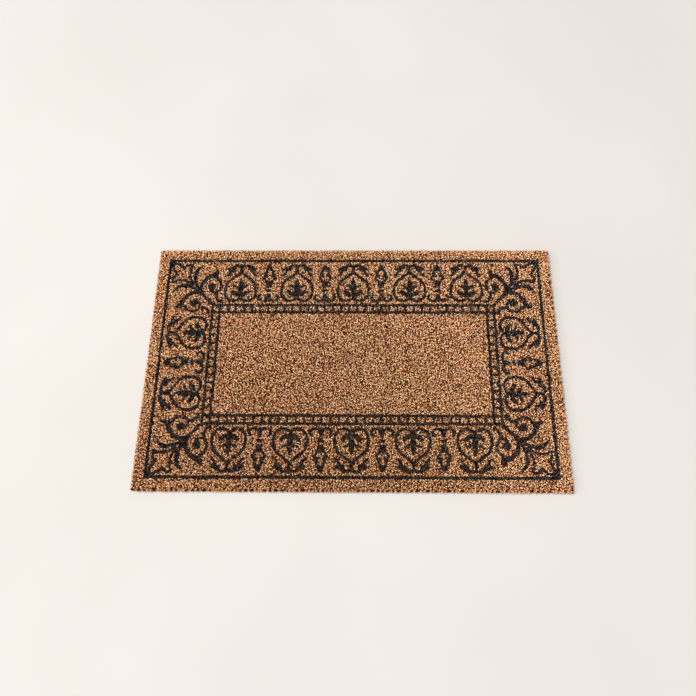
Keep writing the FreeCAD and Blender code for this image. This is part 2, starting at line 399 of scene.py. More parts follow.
def coir_group() -> bpy.types.NodeTree:
    """Builds the node group that colours one coir bristle from root to tip, with its dye and a painted shade
    that darkens it towards the root.

    Returns:
        The group.
    """
    number, colour = "NodeSocketFloat", "NodeSocketColor"
    bench, source, result = new_group(
        "coir_colour",
        {
            "Tone": (number, 0.5),
            "Reach": (number, 1.0),
            "Dye": (number, 0.0),
            "Patch Size": (number, 7.0),
            "Patch Strength": (number, 0.25),
            "Dark": (colour, (0.1, 0.05, 0.02, 1)),
            "Middle": (colour, (0.4, 0.2, 0.1, 1)),
            "Light": (colour, (0.8, 0.5, 0.3, 1)),
            "Root Painted Shade": (colour, (0.2, 0.08, 0.03, 1)),
            "Pink Tint": (colour, (1.0, 0.97, 0.96, 1)),
            "Olive Tint": (colour, (0.99, 1.0, 0.93, 1)),
            "Dye Deep": (colour, (0.01, 0.01, 0.01, 1)),
            "Dye Grey Glint": (colour, (0.08, 0.08, 0.08, 1)),
            "Dye Start": (number, 0.0),
            "Roughness": (number, 0.7),
        },
        {"Color": colour, "Roughness": number},
    )
    place = bench.add("ShaderNodeTexCoord").outputs["Object"]
    patch = bench.add("ShaderNodeTexNoise", {"Detail": 0.0})
    bench.join(place, patch.inputs["Vector"])
    bench.join(source.outputs["Patch Size"], patch.inputs["Scale"])
    drift = bench.math("SUBTRACT", patch.outputs["Fac"], 0.5)
    drift = bench.math("MULTIPLY", drift, source.outputs["Patch Strength"])
    streak = bench.math("SUBTRACT", bench.noise(place, 700.0, 3.0, 0.6), 0.5)
    streak = bench.math("MULTIPLY", streak, 0.5)
    tone = bench.math("ADD", source.outputs["Tone"], bench.math("ADD", drift, streak), clamp=True)
    low = bench.mix(bench.ramp(tone, 0.0, 0.5, 0.0, 1.0), source.outputs["Dark"], source.outputs["Middle"])
    full = bench.mix(bench.ramp(tone, 0.5, 1.0, 0.0, 1.0), low, source.outputs["Light"])
    hue = bench.ramp(bench.noise(place, 24.0, 1.0), 0.36, 0.64, 0.0, 1.0)
    hue = bench.mix(hue, source.outputs["Pink Tint"], source.outputs["Olive Tint"])
    full = bench.mix(1.0, full, hue, "MULTIPLY")
    # Painted shade: a bristle is painted darker towards its root, and where its tip sits low in the pile,
    # according to its reach.
    exposed = bench.ramp(source.outputs["Reach"], 0.2, 1.0, 0.0, 1.0)
    shade = bench.mix(exposed, source.outputs["Root Painted Shade"], (1.0, 1.0, 1.0, 1.0))
    shaded = bench.mix(1.0, full, shade, "MULTIPLY")
    soak_end = bench.math("ADD", source.outputs["Dye Start"], 0.3)
    soak = bench.ramp(source.outputs["Reach"], source.outputs["Dye Start"], soak_end, 0.0, 1.0)
    dyed = bench.math("MULTIPLY", soak, source.outputs["Dye"])
    # Dyed tips range from near black to a paler grey by tone: partly uneven ink, partly painted glint.
    fade_and_glint = bench.ramp(tone, 0.4, 1.0, 0.0, 1.0)
    ink = bench.mix(fade_and_glint, source.outputs["Dye Deep"], source.outputs["Dye Grey Glint"])
    bench.join(bench.mix(dyed, shaded, ink), result.inputs["Color"])
    worn = bench.math("MULTIPLY", bench.math("SUBTRACT", bench.noise(place, 300.0), 0.5), 0.3)
    bench.join(bench.math("ADD", source.outputs["Roughness"], worn, clamp=True), result.inputs["Roughness"])
    return bench.tree


@dataclass(frozen=True)
class BristleFinish:
    """How a family of bristles looks.

    Attributes:
        name: the material's name.
        dark: colour of the darkest bristles.
        middle: colour of the usual bristles.
        light: colour of the palest bristles.
        dye_deep: colour of the blackest dyed tips.
        dye_grey_glint: colour of the palest dyed tips, partly ink that took unevenly and partly a painted
            grey glint.
        root_painted_shade: the painted shade at a bristle's root, as the share of each colour that the
            bristle keeps there.
        roughness: mean roughness.
        specular: strength of the gloss.
        patch_strength: how far broad patches drift in tone.
    """

    name: str
    dark: Colour = (0.085, 0.014, 0.002, 1.0)
    middle: Colour = (0.79, 0.335, 0.135, 1.0)
    light: Colour = (1.0, 0.70, 0.43, 1.0)
    dye_deep: Colour = (0.001, 0.0012, 0.0015, 1.0)
    dye_grey_glint: Colour = (0.046, 0.062, 0.07, 1.0)
    root_painted_shade: Colour = (0.13, 0.04, 0.011, 1.0)
    roughness: float = 0.66
    specular: float = 0.07
    patch_strength: float = 0.16

    def build(self, colours: bpy.types.NodeTree) -> bpy.types.Material:
        """Builds the material.

        Args:
            colours: the shared coir colour group.

        Returns:
            The material.
        """
        material, bench, shader = new_material(self.name, {"Specular IOR Level": self.specular})
        group = bench.add("ShaderNodeGroup", node_tree=colours)
        for key, value in {
            "Dark": self.dark,
            "Middle": self.middle,
            "Light": self.light,
            "Dye Deep": self.dye_deep,
            "Dye Grey Glint": self.dye_grey_glint,
            "Root Painted Shade": self.root_painted_shade,
            "Roughness": self.roughness,
            "Patch Strength": self.patch_strength,
        }.items():
            group.inputs[key].default_value = value
        for attribute, socket in (("tone", "Tone"), ("reach", "Reach"), ("dye", "Dye")):
            reader = bench.add("ShaderNodeAttribute", attribute_type="GEOMETRY", attribute_name=attribute)
            bench.join(reader.outputs["Fac"], group.inputs[socket])
        bench.join(group.outputs["Color"], shader.inputs["Base Color"])
        bench.join(group.outputs["Roughness"], shader.inputs["Roughness"])
        return material


@dataclass(frozen=True)
class BedFinish:
    """The packed roots seen between the bristles, coloured far darker than coir as painted shade for the
    gaps.
    """

    name: str = "packed_roots"
    painted_shade_deep: Colour = (0.028, 0.008, 0.002, 1.0)
    painted_shade_brown: Colour = (0.15, 0.05, 0.014, 1.0)

    def build(self) -> bpy.types.Material:
        """Builds the material.

        Returns:
            The material.
        """
        material, bench, shader = new_material(self.name, {"Specular IOR Level": 0.1})
        place = bench.add("ShaderNodeTexCoord").outputs["Object"]
        stretch = bench.add("ShaderNodeMapping", {"Scale": (1.0, 1.0, 0.12)})
        bench.join(place, stretch.inputs["Vector"])
        strands = bench.noise(stretch.outputs[0], 900.0, 3.0, 0.6)
        # Painted shade: both strand colours are far darker than the coir itself, and stand in for the shade
        # in the gaps.
        colour = bench.mix(bench.ramp(strands, 0.35, 0.7, 0.0, 1.0), self.painted_shade_deep, self.painted_shade_brown)
        bench.join(colour, shader.inputs["Base Color"])
        bench.join(bench.ramp(strands, 0.3, 0.7, 0.95, 0.75), shader.inputs["Roughness"])
        bench.bump(strands, shader, 0.6, 0.8 * MM)
        return material


@dataclass(frozen=True)
class BackingFinish:
    """Brown flexible vinyl with a fine pebbled grain and the shadow of the fibres set in it."""

    name: str = "vinyl_backing"
    base: Colour = (0.085, 0.045, 0.024, 1.0)
    shadow: Colour = (0.045, 0.024, 0.013, 1.0)
    fleck: Colour = (0.2, 0.115, 0.06, 1.0)

    def build(self) -> bpy.types.Material:
        """Builds the material.

        Returns:
            The material.
        """
        material, bench, shader = new_material(self.name, {"Specular IOR Level": 0.45})
        place = bench.add("ShaderNodeTexCoord").outputs["Object"]
        clouds = bench.noise(place, 26.0, 4.0, 0.6)
        colour = bench.mix(bench.ramp(clouds, 0.3, 0.72, 0.0, 1.0), self.shadow, self.base)
        fibres = bench.noise(place, 420.0, 2.0, 0.7)
        colour = bench.mix(bench.ramp(fibres, 0.6, 0.74, 0.0, 0.55), colour, self.fleck)
        bench.join(colour, shader.inputs["Base Color"])
        pebbles = bench.add("ShaderNodeTexVoronoi", {"Scale": 620.0}, feature="SMOOTH_F1")
        bench.join(place, pebbles.inputs["Vector"])
        bench.join(bench.ramp(clouds, 0.3, 0.7, 0.62, 0.48), shader.inputs["Roughness"])
        bench.bump(pebbles.outputs["Distance"], shader, 0.5, 0.4 * MM)
        return material


# ---------------------------------------------------------------------------
# Bristles
# ---------------------------------------------------------------------------
@dataclass(frozen=True)
class UnitBristle:
    """One modelled bristle of unit radius and height.

    Attributes:
        points: its corners, (n, 3).
        faces: its faces as corner numbers.
    """

    points: np.ndarray
    faces: list[tuple[int, ...]]

    @classmethod
    def model(cls, joints: int, taper: float) -> "UnitBristle":
        """Models a three-sided bristle by extruding a triangle upwards.

        Args:
            joints: how many straight lengths it has.
            taper: the tip's width as a share of the root's.

        Returns:
            The bristle, standing on the origin.
        """
        clear_selection()
        bpy.ops.mesh.primitive_circle_add(vertices=3, radius=1.0, fill_type="NGON", location=(0, 0, 0))
        piece = bpy.context.object
        bpy.ops.object.mode_set(mode="EDIT")
        bpy.ops.mesh.select_all(action="SELECT")
        narrowing = taper ** (1.0 / joints)
        for _ in range(joints):
            bpy.ops.mesh.extrude_region_move(TRANSFORM_OT_translate={"value": (0, 0, 1.0 / joints)})
            bpy.ops.transform.resize(value=(narrowing, narrowing, 1.0))
        bpy.ops.mesh.select_all(action="SELECT")
        bpy.ops.mesh.normals_make_consistent(inside=False)
        bpy.ops.object.mode_set(mode="OBJECT")
        points = np.array([vertex.co[:] for vertex in piece.data.vertices])
        faces = [tuple(polygon.vertices) for polygon in piece.data.polygons]
        bpy.data.objects.remove(piece)
        return cls(points, faces)


@dataclass
class BristleBatch:
    """Many bristles that will share a mesh.

    Attributes:
        roots: where they start, (n, 3).
        tips: where they end, (n, 3).
        radius: half their thickness at the root, (n,).
        tone: how pale each one is, 0 to 1.
        dye: how much dye each tip holds, 0 to 1.
        reach: how exposed each one is at its root and at its tip, 0 to 1, (n, 2); it sets the painted shade
            along the bristle and where its dye starts.
        sag: how far the middle bows aside, (n, 3); only read for jointed bristles.
    """

    roots: np.ndarray
    tips: np.ndarray
    radius: np.ndarray
    tone: np.ndarray
    dye: np.ndarray
    reach: np.ndarray
    sag: np.ndarray | None = None

    def __len__(self) -> int:
        """How many bristles there are."""
        return len(self.roots)

    def pick(self, chosen: np.ndarray) -> "BristleBatch":
        """The bristles that a mask or index list chooses."""
        return BristleBatch(
            self.roots[chosen],
            self.tips[chosen],
            self.radius[chosen],
            self.tone[chosen],
            self.dye[chosen],
            self.reach[chosen],
            None if self.sag is None else self.sag[chosen],
        )


class BristlePress:
    """Turns a batch of bristles into one piece, each bristle a copy of the modelled one."""

    def __init__(self, unit: UnitBristle, seed: int) -> None:
        """Keeps the modelled bristle and seeds the random turns."""
        self.unit = unit
        self.random = np.random.default_rng(seed)

    def corners(self, batch: BristleBatch) -> np.ndarray:
        """Places every corner of every copy.

        Args:
            batch: the bristles.

        Returns:
            An (n, corners, 3) array of points.
        """
        count = len(batch)
        unit = self.unit.points
        turn = self.random.uniform(0, 2 * math.pi, count)
        cos, sin = np.cos(turn)[:, None], np.sin(turn)[:, None]
        across_x = unit[None, :, 0] * cos - unit[None, :, 1] * sin
        across_y = unit[None, :, 0] * sin + unit[None, :, 1] * cos
        height = unit[:, 2][None, :, None]
        axis = batch.tips - batch.roots
        axis /= np.linalg.norm(axis, axis=1)[:, None]
        side = np.cross(axis, np.array([0.31, 0.95, 0.02]))
        side /= np.linalg.norm(side, axis=1)[:, None]
        other = np.cross(axis, side)
        line = batch.roots[:, None, :] + (batch.tips - batch.roots)[:, None, :] * height
        if batch.sag is not None:
            line = line + batch.sag[:, None, :] * (4.0 * height * (1.0 - height))
        wide = batch.radius[:, None, None]
        spread = side[:, None, :] * across_x[..., None] + other[:, None, :] * across_y[..., None]
        cut = self.random.uniform(-0.6, 0.6, (count, 1)) * wide[:, :, 0]
        places = line + spread * wide
        top = unit[:, 2] > 0.999
        slant = (across_x * cut)[:, top]
        places[:, top, :] += axis[:, None, :] * slant[..., None]
        return places

    def press(self, batch: BristleBatch, name: str, material: bpy.types.Material) -> bpy.types.Object:
        """Makes the piece.

        Args:
            batch: the bristles.
            name: the piece's name.
            material: its material.

        Returns:
            The object, at the origin.
        """
        count = len(batch)
        unit_count = len(self.unit.points)
        mesh = bpy.data.meshes.new(name)
        places = self.corners(batch)
        mesh.vertices.add(count * unit_count)
        mesh.vertices.foreach_set("co", places.reshape(-1).astype(np.float32))
        flat = np.concatenate([np.array(face) for face in self.unit.faces])
        lengths = np.array([len(face) for face in self.unit.faces])
        starts = np.concatenate([[0], np.cumsum(lengths)[:-1]])
        loop_vertices = (flat[None, :] + (np.arange(count) * unit_count)[:, None]).reshape(-1)
        loop_starts = (starts[None, :] + (np.arange(count) * len(flat))[:, None]).reshape(-1)
        mesh.loops.add(len(loop_vertices))
        mesh.loops.foreach_set("vertex_index", loop_vertices.astype(np.int32))
        mesh.polygons.add(len(loop_starts))
        mesh.polygons.foreach_set("loop_start", loop_starts.astype(np.int32))
        mesh.polygons.foreach_set("use_smooth", np.ones(len(loop_starts), dtype=bool))
        self._paint(mesh, batch)
        self._unwrap(mesh, count, loop_vertices)
        mesh.update(calc_edges=True)
        mesh.validate()
        piece = bpy.data.objects.new(name, mesh)
        bpy.context.scene.collection.objects.link(piece)
        dress(piece, material)
        return piece

    def _paint(self, mesh: bpy.types.Mesh, batch: BristleBatch) -> None:
        """Writes each corner's tone, reach and dye; the reach sets the painted shade.

        Args:
            mesh: the piece's mesh.
            batch: its bristles.
        """
        unit_count = len(self.unit.points)
        low, high = batch.reach[:, :1], batch.reach[:, 1:]
        reach = low + (high - low) * self.unit.points[None, :, 2]
        for name, values in (
            ("tone", np.repeat(batch.tone, unit_count)),
            ("reach", reach.reshape(-1)),
            ("dye", np.repeat(batch.dye, unit_count)),
        ):
            layer = mesh.attributes.new(name, "FLOAT", "POINT")
            layer.data.foreach_set("value", values.astype(np.float32))

    def _unwrap(self, mesh: bpy.types.Mesh, count: int, loop_vertices: np.ndarray) -> None:
        """Lays each bristle out in a cell of its own, root at the bottom and tip at the top.

        Args:
            mesh: the piece's mesh.
            count: how many bristles it has.
            loop_vertices: the corner number of each face corner.
        """
        unit_count = len(self.unit.points)
        cells = math.ceil(math.sqrt(count))
        number = np.arange(count)
        corner_x = np.stack([number % cells, number // cells], axis=1) / cells
        local_x = np.array([0.2, 0.8, 0.5])[np.arange(unit_count) % 3]
        local_y = 0.15 + 0.7 * self.unit.points[:, 2]
        local = np.stack([local_x, local_y], axis=1) / cells
        places = (corner_x[:, None, :] + local[None, :, :]).reshape(-1, 2)
        layer = mesh.uv_layers.new(name="OFBake")
        layer.data.foreach_set("uv", places[loop_vertices].reshape(-1).astype(np.float32))


class TuftMap:
    """The mat divided into small tufts, whose bristles lean together and leave gaps between them."""

    def __init__(self, mat: MatFrame, pitch: float, seed: int) -> None:
        """Scatters the tufts.

        Args:
            mat: the mat's sizes.
            pitch: mean distance between tufts.
            seed: for the random places.
        """
        random = np.random.default_rng(seed)
        self.pitch = pitch
        self.origin = np.array([-mat.half_length - pitch, -mat.half_width - pitch])
        self.across = int(math.ceil(2 * mat.half_length / pitch)) + 3
        self.along = int(math.ceil(2 * mat.half_width / pitch)) + 3
        grid = np.stack(np.meshgrid(np.arange(self.across), np.arange(self.along), indexing="ij"), axis=-1)
        jitter = random.uniform(-0.46, 0.46, grid.shape)
        self.centre = self.origin + (grid + 0.5 + jitter) * pitch
        turn = random.uniform(0, 2 * math.pi, grid.shape[:2])
        amount = random.gamma(2.0, 0.5, grid.shape[:2])
        self.lean = np.stack([np.cos(turn), np.sin(turn)], axis=-1) * amount[..., None]
        self.lift = random.normal(0, 1, grid.shape[:2])
        step = 2 * grid[..., 0] + 3 * grid[..., 1] + random.integers(0, 2, grid.shape[:2])
        self.sunk = (step % 7 == 0) * random.uniform(1.4, 4.2, grid.shape[:2])
        self.tone = self._even(random.normal(0, 1, grid.shape[:2]))

    @staticmethod
    def _even(values: np.ndarray) -> np.ndarray:
        """Takes each tuft's surroundings away from its value, so no broad blotches form.

        Args:
            values: one value for each tuft of the grid.

        Returns:
            The evened values, with a spread of 1.
        """
        shifts = [(x, y) for x in (-1, 0, 1) for y in (-1, 0, 1)]
        around = sum(np.roll(values, shift, axis=(0, 1)) for shift in shifts) / len(shifts)
        even = values - around
        return even / even.std()

    def nearest(self, places: np.ndarray) -> tuple[np.ndarray, np.ndarray]:
        """Finds the tuft that each place belongs to.

        Args:
            places: an (n, 2) array.

        Returns:
            The tufts' two grid numbers.
        """
        cell = np.floor((places - self.origin) / self.pitch).astype(int)
        best = np.full(len(places), np.inf)
        chosen = cell.copy()
        for step_x in (-1, 0, 1):
            for step_y in (-1, 0, 1):
                column = np.clip(cell[:, 0] + step_x, 0, self.across - 1)
                row = np.clip(cell[:, 1] + step_y, 0, self.along - 1)
                distance = np.linalg.norm(self.centre[column, row] - places, axis=1)
                closer = distance < best
                best[closer] = distance[closer]
                chosen[closer, 0] = column[closer]
                chosen[closer, 1] = row[closer]
        return chosen[:, 0], chosen[:, 1]


@dataclass(frozen=True)
class EdgeRow:
    """One row of bristles along the cut edge.

    Attributes:
        root_inset: how far its roots stand in from the edge.
        tip_inset: how far its tips stand in from the edge; less than 0 is outside.
        height: height of its tips.
        gap: distance from one bristle to the next.
    """

    root_inset: float
    tip_inset: float
    height: float
    gap: float


@dataclass
class Pile:
    """All the standing bristles: undyed ones sorted by shade, dyed ones by the part of the print.

    Attributes:
        mat: the mat's sizes.
        plan: where the print is.
        pitch: mean distance between bristles.
        tuft_pitch: mean distance between tufts.
        root_height: where the visible length of an inner bristle starts.
        rim: width of the strip at the cut edge that the inner bristles leave free.
        thickness: smallest and largest radius of a bristle.
        pull: how far a tip moves towards the middle of its tuft.
        tone_middle: tone of the usual bristle.
        tone_spread: how far single bristles stray from it.
        tuft_contrast: how far whole tufts stray from it.
        dye_shares: how much dye a printed tip may hold, and how often.
        parting_width: how far from its middle an edge tuft ends in a parting, where the bristles are painted
            darker as painted shade.
        edge_rows: the rows of the cut edge, outermost first.
        shades: names of the undyed pieces, darkest first.
        pieces: the finished pieces.
    """

    mat: MatFrame
    plan: PrintPlan
    pitch: float = 1.26 * MM
    tuft_pitch: float = 2.2 * MM
    root_height: float = 7.6 * MM
    rim: float = 3.6 * MM
    thickness: tuple[float, float] = (0.40 * MM, 0.68 * MM)
    pull: float = 0.36
    tone_middle: float = 0.52
    tone_spread: float = 0.32
    tuft_contrast: float = 0.6
    dye_shares: tuple[tuple[float, ...], tuple[float, ...]] = ((1.0, 0.9, 0.5), (0.82, 0.16, 0.02))
    parting_width: float = 4.0 * MM
    edge_rows: tuple[EdgeRow, ...] = (
        EdgeRow(0.8 * MM, -0.4 * MM, 7.6 * MM, 1.0 * MM),
        EdgeRow(2.7 * MM, -0.9 * MM, 10.6 * MM, 0.85 * MM),
        EdgeRow(3.3 * MM, 0.3 * MM, 12.4 * MM, 0.95 * MM),
        EdgeRow(4.0 * MM, 2.0 * MM, 13.5 * MM, 1.1 * MM),
    )
    shades: tuple[str, ...] = ("umber", "russet", "tan", "golden", "honey", "straw", "pale")
    pieces: list[bpy.types.Object] = field(default_factory=list)

    def scatter(self, random: np.random.Generator) -> np.ndarray:
        """Scatters the inner roots on a loose grid that stops short of the cut edge.

        Args:
            random: the random numbers to use.

        Returns:
            An (n, 2) array of places.
        """
        limit = np.array([self.mat.half_length, self.mat.half_width]) - self.rim
        xs, ys = (np.arange(-reach, reach, self.pitch) for reach in limit)
        grid_x, grid_y = np.meshgrid(xs, ys, indexing="ij")
        places = np.stack([grid_x.ravel(), grid_y.ravel()], axis=1)
        places += random.uniform(-0.5, 0.5, places.shape) * self.pitch
        return np.clip(places, -limit, limit)

    def grow(self) -> tuple[BristleBatch, np.ndarray]:
        """Grows every inner bristle.

        Returns:
            The bristles, and for each the number of its print group or -1.
        """
        random = np.random.default_rng(SEED)
        tufts = TuftMap(self.mat, self.tuft_pitch, SEED + 1)
        places = self.scatter(random)
        count = len(places)
        column, row = tufts.nearest(places)
        centre = tufts.centre[column, row]
        tips = places + (centre - places) * (self.pull + random.normal(0, 0.1, count))[:, None]
        tips += tufts.lean[column, row] * 0.4 * MM + random.normal(0, 0.3 * MM, (count, 2))
        top = self.mat.pile_top - 0.6 * MM
        away = np.linalg.norm(centre - places, axis=1) / self.tuft_pitch
        heights = top + tufts.lift[column, row] * 0.6 * MM + random.normal(0, 0.45 * MM, count)
        heights -= away * 1.6 * MM + tufts.sunk[column, row] * MM
        heights = np.clip(heights, None, self.mat.pile_top + 1.2 * MM)
        roots = np.column_stack([places, np.full(count, self.root_height)])
        tips = np.column_stack([tips, heights])
        tone = self.tone_middle + random.normal(0, self.tone_spread, count)
        tone += tufts.tone[column, row] * self.tuft_contrast
        radius = random.uniform(*self.thickness, count)
        printed = self.print_numbers(tips[:, :2] + random.normal(0, 0.18 * MM, places.shape))
        amounts, shares = self.dye_shares
        dye = np.where(printed >= 0, random.choice(amounts, count, p=shares), 0.0)
        # Painted shade: tips that stand below the pile top get a lower reach, so they are painted darker.
        sunk = (self.mat.pile_top - heights) / (self.mat.pile_top - self.root_height)
        reach = np.column_stack([np.zeros(count), np.clip(1.12 - sunk, 0.1, 1.0)])
        batch = BristleBatch(roots, tips, radius, np.clip(tone, 0.02, 0.98), dye, reach)
        return batch, printed

    def print_numbers(self, places: np.ndarray) -> np.ndarray:
        """Looks up which part of the print covers each place.

        Args:
            places: an (n, 2) array.

        Returns:
            The part's number at each place, or -1 where there is none.
        """
        numbers = np.full(len(places), -1)
        for index, group in enumerate(PrintGroup):
            numbers[self.plan.covered(group, places)] = index
        return numbers

    def edge(self) -> BristleBatch:
        """Grows the full-length bristles of the cut edge, in rows all round that splay outwards in tufts.

        Returns:
            The bristles.
        """
        random = np.random.default_rng(SEED + 2)
        half = np.array([self.mat.half_length, self.mat.half_width])
        roots, tips, partings = [], [], []
        for axis, sign in ((0, -1), (0, 1), (1, -1), (1, 1)):
            steps = random.uniform(3.5 * MM, 12.0 * MM, int(2 * half[axis] / (3.5 * MM)))
            middles = np.cumsum(steps) - half[axis]
            for line in self.edge_rows:
                reach = half - line.tip_inset
                run = np.arange(-reach[axis], reach[axis], line.gap)
                places = np.full((len(run), 2), sign * reach[1 - axis])
                places[:, axis] = run
                gather = middles[abs(run[:, None] - middles[None, :]).argmin(axis=1)] - run
                parting = np.clip(abs(gather) / self.parting_width, 0, 1) ** 2
                roots.append(np.clip(places, line.root_inset - half, half - line.root_inset))
                places[:, axis] += gather * 0.24
                places[:, 1 - axis] -= sign * parting * 0.8 * MM
                height = line.height + random.normal(0, 0.6 * MM, len(run)) - parting * 1.0 * MM
                tips.append(np.column_stack([places, height]))
                partings.append(parting)
        roots, tips, parting = np.concatenate(roots), np.concatenate(tips), np.concatenate(partings)
        count = len(tips)
        roots = roots + random.normal(0, 0.2 * MM, roots.shape)
        tips[:, :2] += random.normal(0, 0.35 * MM, roots.shape)
        # Painted shade: bristles in the partings get a darker tone and a lower reach, and the cut face is
        # painted darker towards its foot.
        return BristleBatch(
            np.column_stack([roots, np.full(count, self.mat.sheet_top - 0.5 * MM)]),
            tips,
            random.uniform(0.36 * MM, 0.56 * MM, count),
            np.clip(0.56 - parting * 0.7 + random.normal(0, 0.24, count), 0.02, 0.98),
            np.zeros(count),
            np.column_stack([np.full(count, 0.4), 0.92 - parting * 0.35]),
        )

    def build(self, colours: bpy.types.NodeTree) -> list[bpy.types.Object]:
        """Makes every bristle piece.

        Args:
            colours: the shared coir colour group.

        Returns:
            The pieces.
        """
        press = BristlePress(UnitBristle.model(1, 1.1), SEED + 3)
        natural = BristleFinish("coir_natural").build(colours)
        dyed = BristleFinish("coir_dyed", roughness=0.55, specular=0.06).build(colours)
        batch, printed = self.grow()
        plain = np.flatnonzero(printed < 0)
        order = plain[np.argsort(batch.tone[plain])]
        for shade, members in zip(self.shades, np.array_split(order, len(self.shades))):
            piece = press.press(batch.pick(np.sort(members)), f"bristles_{shade}", natural)
            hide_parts(*pile_nodes())
            self.pieces.append(piece)
        for index, group in enumerate(PrintGroup):
            piece = press.press(batch.pick(np.flatnonzero(printed == index)), f"dyed_{group.value}", dyed)
            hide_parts(*group.nodes())
            self.pieces.append(piece)
        rim = press.press(self.edge(), "bristles_cut_edge", natural)
        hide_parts(*[f"margin_pile_{side}" for side in SIDES])
        self.pieces.append(rim)
        self.pieces.append(self.strays(colours))
        return self.pieces

    def strays(self, colours: bpy.types.NodeTree, count: int = 420) -> bpy.types.Object:
        """Scatters loose curled fibres across the tips.

        Args:
            colours: the shared coir colour group.
            count: how many there are.

        Returns:
            The piece.
        """
        random = np.random.default_rng(SEED + 4)
        limit = np.array([self.mat.half_length, self.mat.half_width]) - 9 * MM
        start = random.uniform(-1, 1, (count, 2)) * limit
        turn = random.uniform(0, 2 * math.pi, count)
        length = random.uniform(4 * MM, 11 * MM, count)
        step = np.stack([np.cos(turn), np.sin(turn)], axis=1) * length[:, None]
        low = self.mat.pile_top - 1.0 * MM
        sag = np.column_stack([-step[:, 1], step[:, 0], np.zeros(count)])
        sag *= random.uniform(-0.3, 0.3, (count, 1))
        sag[:, 2] = random.uniform(0.1 * MM, 0.7 * MM, count)
        # Painted shade: each loose fibre is painted a little darker at its starting end.
        batch = BristleBatch(
            np.column_stack([start, np.full(count, low)]),
            np.column_stack([start + step, low + random.uniform(-0.4 * MM, 0.8 * MM, count)]),
            random.uniform(0.13 * MM, 0.22 * MM, count),
            np.clip(random.normal(0.7, 0.15, count), 0.1, 0.98),
            np.zeros(count),
            np.tile([0.85, 1.0], (count, 1)),
            sag,
        )
        finish = BristleFinish("coir_loose_fibre", specular=0.4).build(colours)
        piece = BristlePress(UnitBristle.model(5, 0.7), SEED + 5).press(batch, "loose_fibres", finish)
        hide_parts("field_pile")
        return piece


@dataclass
class RootBed:
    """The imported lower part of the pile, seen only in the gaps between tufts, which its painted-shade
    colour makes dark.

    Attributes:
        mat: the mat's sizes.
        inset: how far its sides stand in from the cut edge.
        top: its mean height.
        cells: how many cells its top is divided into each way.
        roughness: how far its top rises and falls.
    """

    mat: MatFrame
    inset: float = 4.8 * MM
    top: float = 8.6 * MM
    cells: int = 165
    roughness: float = 0.7 * MM

    def build(self) -> bpy.types.Object:
        """Models the bed as a block with a finely divided, uneven top.

        Returns:
            The piece.
        """
        low = self.mat.sheet_top - 0.3 * MM
        length = 2 * (self.mat.half_length - self.inset)
        width = 2 * (self.mat.half_width - self.inset)
        clear_selection()
        bpy.ops.mesh.primitive_cube_add(size=1.0, location=(0, 0, (low + self.top) / 2))
        piece = bpy.context.object
        piece.scale = (length, width, self.top - low)
        finish_piece(piece, "packed_roots")
        bpy.ops.object.mode_set(mode="EDIT")
        select_faces(piece, lambda polygon: polygon.normal.z > 0.9)
        bpy.ops.mesh.subdivide(number_cuts=10)
        bpy.ops.mesh.subdivide(number_cuts=self.cells // 11 - 1)
        bpy.ops.mesh.normals_make_consistent(inside=False)
        bpy.ops.object.mode_set(mode="OBJECT")
        self._roughen(piece, low)
        dress(piece, BedFinish().build())
        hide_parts(*pile_nodes())
        return piece

    def _roughen(self, piece: bpy.types.Object, low: float) -> None:
        """Moves the top's points up and down, and its rim not at all.

        Args:
            piece: the bed.
            low: height of its underside.
        """
        random = np.random.default_rng(SEED + 6)
        points = np.empty(len(piece.data.vertices) * 3)
        piece.data.vertices.foreach_get("co", points)
        points = points.reshape(-1, 3)
        rim_x = self.mat.half_length - self.inset - 0.5 * MM
        rim_y = self.mat.half_width - self.inset - 0.5 * MM
        inner = (points[:, 2] > low + 1 * MM) & (abs(points[:, 0]) < rim_x) & (abs(points[:, 1]) < rim_y)
        points[inner, 2] += random.normal(0, self.roughness, inner.sum())
        piece.data.vertices.foreach_set("co", points.reshape(-1))
        piece.data.update()


@dataclass
class BackingSheet:
    """The flexible vinyl sheet that the bristles' feet are set in.

    Attributes:
        mat: the mat's sizes.
        edge_radius: rounding of its cut edge.
        wobble: how far the cut wanders.
    """

    mat: MatFrame
    edge_radius: float = 0.45 * MM
    wobble: float = 0.25 * MM

    def build(self) -> bpy.types.Object:
        """Models the sheet as a thin slab with rounded edges that wander a little.

        Returns:
            The piece.
        """
        clear_selection()
        bpy.ops.mesh.primitive_cube_add(size=1.0, location=(0, 0, self.mat.sheet_top / 2))
        piece = bpy.context.object
        piece.scale = (2 * self.mat.half_length, 2 * self.mat.half_width, self.mat.sheet_top)
        finish_piece(piece, "vinyl_sheet")
        bpy.ops.object.mode_set(mode="EDIT")
        bpy.ops.mesh.select_all(action="SELECT")
        bpy.ops.mesh.bevel(offset=self.edge_radius, segments=2, profile=0.6, affect="EDGES")
        bpy.ops.mesh.select_all(action="SELECT")
        bpy.ops.mesh.subdivide(number_cuts=15)
        bpy.ops.object.mode_set(mode="OBJECT")
        self._wander(piece)
        dress(piece, BackingFinish().build())
        make_active(piece)
        bpy.ops.object.shade_smooth_by_angle(angle=math.radians(40))
        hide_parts("backing_sheet")
        return piece

    def _wander(self, piece: bpy.types.Object) -> None:
        """Lets the cut edge wander a little along its length.

        Args:
            piece: the sheet.
        """
        random = np.random.default_rng(SEED + 7)
        phases = random.uniform(0, 2 * math.pi, (2, 4))
        waves = np.array([31.0, 57.0, 96.0, 171.0])
        points = np.empty(len(piece.data.vertices) * 3)
        piece.data.vertices.foreach_get("co", points)
        points = points.reshape(-1, 3)
        limits = (self.mat.half_length, self.mat.half_width)
        for axis in (0, 1):
            near = abs(points[:, axis]) > limits[axis] - 1 * MM
            along = points[near, 1 - axis][:, None] * waves[None, :] + phases[axis][None, :]
            points[near, axis] -= np.sign(points[near, axis]) * (1 + np.sin(along).mean(1)) * self.wobble / 2
        piece.data.vertices.foreach_set("co", points.reshape(-1))
        piece.data.update()


